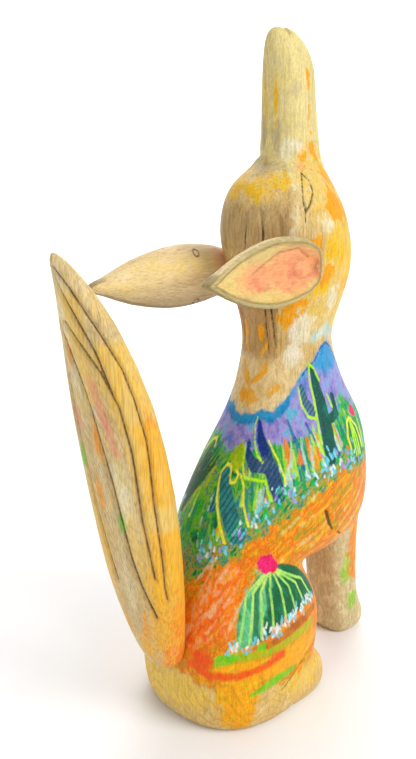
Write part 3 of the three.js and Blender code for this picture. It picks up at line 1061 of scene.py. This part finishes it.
# Paint layers on the tail from the bottom up, as in BODY_PAINT.
TAIL_PAINT = [
    # Cream wash, and painted highlight towards the tip.
    ("cream", "f6eac0 f0dc9c", 4, 10, 0.85),
    ("yellow", "f0c450 ecc466 f2bc30", 3, 8, 0.8),
    ("marigold", "f4b818 f2ac18 f2c040", 3, 8, 0.85),
    ("orange", "f5a818 f29c30", 1.2, 5, 0.85),
    ("blend", "f99a26 f67a30 f9b42c f2845c", 1.6, 7, 0.95),
    ("pink", "ee8a6a eaa080", 1.4, 4, 0.65),
    ("green", "7fd04a a0d860", 0.8, 3, 0.85),
    # Painted shade beside the carved lines, then the dark line in them.
    ("cut_wide", "a8844c b89458", 1.4, 2.0, 0.3),
    ("cut", "2e1c0e 4a2f16 7a5428", 0.5, 1.0, 0.88),
]


def tail_material():
    sh = Shader("washed_tail")
    colour, fibres = wood_colour(sh, 2, "cdb07c dcc48e e8d4a4 dccaa8")
    shared = {"edge": sh.noise((1, 1, 0.35), 0.35, 3, 0.6, 0.5),
              "patch": sh.noise((1, 1, 0.25), 0.2, 3, 0.6, 0.5)}
    wash = sh.step(shared["patch"], 0.5, 0.62)
    colour = sh.stain(colour, wash, 0.35, "efc65a")
    rings = growth_rings(sh, (46, 50, 0), 1.9)
    colour = sh.stain(colour, rings, 0.22, "8a6a44")
    for layer in TAIL_PAINT:
        colour = brushed_layer(sh, colour, layer, shared)
    streak = sh.noise((1, 1, 0.05), 1.3, 3, 0.6)
    colour = sh.streaked(colour, 0.36, streak, 0.34, "8f7a5c", 0.58)
    roughness = sh.plus(sh.times(streak, 0.25), 0.36)
    height = sh.plus(sh.times(streak, 0.7), sh.times(fibres, 0.4))
    return sh.finish(colour, roughness, height, 0.0004)


# ------ ears

# For each ear: which side, where its root is, and how many degrees its tip rises.
EAR_ROOTS = {"left": (1, (34, -30.3, 249), -2), "right": (-1, (-34, -30.3, 257), 0)}
EAR_SPLAY = math.radians(7)


def ear_out(side):
    """Direction that the hollow face of the ear looks in."""
    sign = EAR_ROOTS[side][0]
    return np.array([sign * math.cos(EAR_SPLAY), -math.sin(EAR_SPLAY), 0])


def ear_chart(points, side):
    """Distance from the root along the ear, and height across it."""
    sign, root, rise = EAR_ROOTS[side]
    along = np.array([sign * math.sin(EAR_SPLAY), math.cos(EAR_SPLAY), math.sin(math.radians(rise))])
    offset = points - np.array(root)
    run = offset @ along
    return run, offset[:, 2] - along[2] * run


def ear_outline(run, up):
    """Middle line and half height of the ear at each distance from its root."""
    width, count = 3, 34
    bins = np.clip((run / width).astype(int), 0, count - 1)
    top = np.full(count, -99.0)
    low = np.full(count, 99.0)
    np.maximum.at(top, bins, up)
    np.minimum.at(low, bins, up)
    used = top > -99
    places = (np.arange(count) + 0.5) * width
    top = np.interp(run, places[used], top[used])
    low = np.interp(run, places[used], low[used])
    return (top + low) / 2, (top - low) / 2


def ear_shapes(points, normals, side):
    """Carved and painted shapes on an ear: name -> millimetres inside."""
    run, up = ear_chart(points, side)
    middle, half = ear_outline(run, up)
    up = up - middle
    c = (run, up)
    facing = normals @ ear_out(side)
    on_front = np.where(facing > 0.35, 9.0, -11.0)
    on_back = np.where(facing > 0.35, -13.0, 7.0)
    from_edge = half - np.abs(up)
    hollow = within(within(from_edge, run - 1, 96 - run) - 2.6, on_front)
    knots = together(bead(c, (31, 13), 1.8), bead(c, (31, -15), 1.8))
    return {
        "hollow": hollow,
        # Painted shade: a dark line round the edge of the hollow.
        "hollow_edge_shade": within(0.6 - np.abs(hollow - 0.3), on_front),
        "rim": within(2.0 - hollow, from_edge + 5, on_front),
        "salmon": within(painted(c, ovals=[(24, 0, 24, 11), (52, -1, 18, 7)]), hollow),
        "gold": within(painted(c, ovals=[(76, 0, 16, 8), (34, -11, 24, 4)]), hollow),
        # The fold's dark line is painted shadow under the hollow's upper lip.
        "fold": within(painted(c, [even(0.5, (10, 5), (20, 10), (36, 9.5), (48, 5), (58, 1))]), on_front),
        "back_ridge": within(painted(c, [even(1, (12, -2), (60, -1), (92, 0))]), on_back),
        "back_gold": within(painted(c, ovals=[(48, 7, 30, 6), (76, 0, 16, 4)]), on_back),
        "back_blush": within(oval(c, 13, 4, 6, 12), on_back),
        "knot": within(0.5 - np.abs(knots), on_back),
        # Painted shade on the lower part of the ear's back.
        "under": within(-9 - up, on_back),
        # Painted shade on the lower side wall of the ear's thickness.
        "shaded_side_wall": within(12 * (0.62 - np.abs(facing)), 4 - up, run - 22),
    }


def build_ear(side):
    """Hollows the ear's face, cuts its fold and raises the ridge along its back."""
    obj = remeshed_copy(side + "_ear", side + "_ear_carved", EAR_VOXEL)
    off_axis = socket_distances(points_of(obj), side + "_ear")[1]
    weight = np.where(off_axis < 5, 0.0, 1.0)
    points = smoothed(obj, 8, weight)
    normals = normals_of(obj)
    shapes = ear_shapes(points, normals, side)
    move = groove(shapes["fold"], 1.8, 0.7)
    move -= 1.5 * np.clip(shapes["hollow"] / 2.2, 0, 1)
    move -= groove(shapes["back_ridge"], 6, 1.1)
    points += normals * (move * weight)[:, None]
    set_points(obj, points)
    dress(obj, shapes, bpy.data.materials.get("washed_ear") or ear_material())
    return obj


# Paint layers on the ears from the bottom up, as in BODY_PAINT.
EAR_PAINT = [
    # Painted shade on the lower part of the ear's back.
    ("under", "a98a64 b59870", 5, 6, 0.6),
    ("back_gold", "eed078 ead090", 4, 8, 0.7),
    ("back_blush", "ee9a72 e8b088", 4, 6, 0.65),
    ("rim", "b8aa78 a09458 c8b888", 1.0, 3, 0.75),
    # Painted shade on the lower side wall of the ear's thickness.
    ("shaded_side_wall", "7c683c 94804e 6c5a34", 1.2, 3, 0.75),
    ("hollow", "d2b46c e0c874 c4a468", 1.0, 3, 0.85),
    ("gold", "e4c470 e6cc80 e0bc60", 2, 8, 0.7),
    ("salmon", "f0905c f2a070 ec7c5c", 2.5, 9, 0.82),
    # Painted shade round the edge of the hollow.
    ("hollow_edge_shade", "6a5230 8a7240", 0.5, 1.4, 0.65),
    ("knot", "5a3f26", 0.4, 0.6, 0.8),
    # Painted shadow along the fold, under the hollow's upper lip.
    ("fold", "7a5a34", 0.5, 1.2, 0.5),
]


def ear_material():
    sh = Shader("washed_ear")
    colour, fibres = wood_colour(sh, 1, "d2b484 e2ca9c ecdab0 dcc8a8")
    shared = {"edge": sh.noise((1, 0.5, 1), 0.4, 3, 0.6, 0.5),
              "patch": sh.noise((1, 0.4, 1), 0.22, 3, 0.6, 0.5)}
    for layer in EAR_PAINT:
        colour = brushed_layer(sh, colour, layer, shared)
    streak = sh.noise((1, 0.08, 1), 1.5, 3, 0.6)
    colour = sh.streaked(colour, 0.25, streak, 0.32, "8a7a60", 0.6)
    roughness = sh.plus(sh.times(streak, 0.25), 0.38)
    height = sh.plus(sh.times(streak, 0.7), sh.times(fibres, 0.4))
    return sh.finish(colour, roughness, height, 0.0004)


# ------ dowels

def dowel_stations(length):
    """(distance along, radius) of the dowel's rings, with a chamfer at both ends."""
    chamfer = 0.8
    end_radius = PEG_RADIUS - chamfer
    return [(0, end_radius), (chamfer, PEG_RADIUS), (2 * chamfer, PEG_RADIUS),
            (length - 2 * chamfer, PEG_RADIUS), (length - chamfer, PEG_RADIUS), (length, end_radius)]


def build_peg(name):
    """A fluted dowel with chamfered ends."""
    start, way = SOCKETS[name]
    length = PEG_LENGTHS[name]
    count = 64
    flute_depth = 0.25
    stations = dowel_stations(length)
    turn = Vector((0, 0, 1)).rotation_difference(Vector(way).normalized())
    vertices, faces = [], []
    for i, (height, radius) in enumerate(stations):
        fluted = i in (2, 3)
        for j in range(count):
            angle = 2 * math.pi * j / count
            r = radius - (flute_depth if fluted and j % 4 == 0 else 0)
            point = Vector((r * math.cos(angle), r * math.sin(angle), height))
            vertices.append(tuple((turn @ point + Vector(start)) * MM))
    for i in range(len(stations) - 1):
        for j in range(count):
            k = (j + 1) % count
            faces.append((i * count + j, i * count + k, (i + 1) * count + k, (i + 1) * count + j))
    faces.append(tuple(reversed(range(count))))
    faces.append(tuple(range(len(vertices) - count, len(vertices))))
    mesh = bpy.data.meshes.new(name + "_dowel")
    mesh.from_pydata(vertices, [], faces)
    obj = new_object(name + "_dowel", mesh)
    mesh.materials.append(bpy.data.materials.get("dowel_wood") or dowel_material())
    return obj


def dowel_material():
    sh = Shader("dowel_wood")
    colour, fibres = wood_colour(sh, 1, "b58a54 c79c64 d4ae78 cdb088")
    return sh.finish(colour, sh.plus(sh.times(fibres, 0.2), 0.5), fibres, 0.0002)


# ------ the pieces together

def build_body():
    """The carved and painted body."""
    obj = remeshed_copy("body", "body_carved", BODY_VOXEL)
    points = carve_body(obj)
    dress(obj, body_layers(points), body_material())
    return obj


def place(obj, node, body):
    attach(obj, body)
    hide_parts(node)


def build_figure():
    place(build_body(), "body", "figure_body")
    place(build_tail(), "tail", "tail_unit")
    place(build_peg("tail"), "tail_peg", "tail_unit")
    for side in ("left", "right"):
        unit = side + "_ear_unit"
        place(build_ear(side), side + "_ear", unit)
        place(build_peg(side + "_ear"), side + "_ear_peg", unit)


# ------ studio

def build_floor():
    """Pale floor that sweeps up behind the figure, on the far side from the camera."""
    away = Vector((-math.sin(AZIMUTH), math.cos(AZIMUTH), 0))
    side = Vector((-away.y, away.x, 0))
    edge, bend = 1.2, 0.8
    profile = [(-3.0, 0.0), (edge, 0.0)]
    for angle in np.linspace(0.15, math.pi / 2, 14):
        profile.append((edge + bend * math.sin(angle), bend - bend * math.cos(angle)))
    profile.append((edge + bend, 3.5))
    vertices = [away * run + side * s + Vector((0, 0, rise)) for run, rise in profile for s in (-5, 5)]
    faces = [(2 * i, 2 * i + 1, 2 * i + 3, 2 * i + 2) for i in range(len(profile) - 1)]
    mesh = bpy.data.meshes.new("floor")
    mesh.from_pydata([tuple(v) for v in vertices], [], faces)
    floor = new_object("floor", mesh)
    material = bpy.data.materials.new("pale_floor")
    material.use_nodes = True
    surface = material.node_tree.nodes["Principled BSDF"]
    surface.inputs["Base Color"].default_value = (0.9, 0.9, 0.9, 1)
    surface.inputs["Roughness"].default_value = 0.9
    dress(floor, {}, material)


def area_light(name, where, aim, size, power, colour=(1, 1, 1)):
    data = bpy.data.lights.new(name, "AREA")
    data.size = size
    data.energy = power
    data.color = colour
    lamp = new_object(name, data)
    lamp.location = where
    lamp.rotation_euler = (Vector(aim) - Vector(where)).to_track_quat("-Z", "Y").to_euler()


def build_lights():
    back = Vector((math.sin(AZIMUTH), -math.cos(AZIMUTH), 0))
    right = Vector((math.cos(AZIMUTH), math.sin(AZIMUTH), 0))
    aim = (0, 0, 0.19)
    area_light("key", back * 0.7 + right * 1.1 + Vector((0, 0, 1.1)), aim, 0.9, 17)
    area_light("fill", back * 1.3 - right * 0.9 + Vector((0, 0, 0.7)), aim, 1.2, 5.5)
    area_light("top", Vector((0, 0, 1.9)), aim, 1.4, 5.5)
    area_light("backdrop", -back * 1.1 + Vector((0, 0, 2.0)), -back * 2.6 + Vector((0, 0, 0.9)), 1.2, 45)
    area_light("front", -back * 0.9 + right * 0.4 + Vector((0, 0, 0.9)), aim, 1.0, 2)
    world = bpy.data.worlds.new("studio")
    world.use_nodes = True
    world.node_tree.nodes["Background"].inputs["Color"].default_value = (1, 1, 1, 1)
    world.node_tree.nodes["Background"].inputs["Strength"].default_value = 0.42
    bpy.context.scene.world = world


def build_camera():
    back = Vector((math.sin(AZIMUTH) * math.cos(ELEVATION), -math.cos(AZIMUTH) * math.cos(ELEVATION),
                   math.sin(ELEVATION)))
    target = Vector(CAMERA["target"]) * MM
    data = bpy.data.cameras.new("photo_camera")
    data.lens = CAMERA["lens"]
    data.clip_start = 0.01
    camera = new_object("photo_camera", data)
    camera.location = target + back * CAMERA["distance"] * MM
    camera.rotation_euler = (-back).to_track_quat("-Z", "Y").to_euler()
    bpy.context.scene.camera = camera


build_figure()
build_floor()
build_lights()
build_camera()
bpy.context.scene.view_settings.view_transform = "Standard"
bpy.context.scene.view_settings.look = "None"
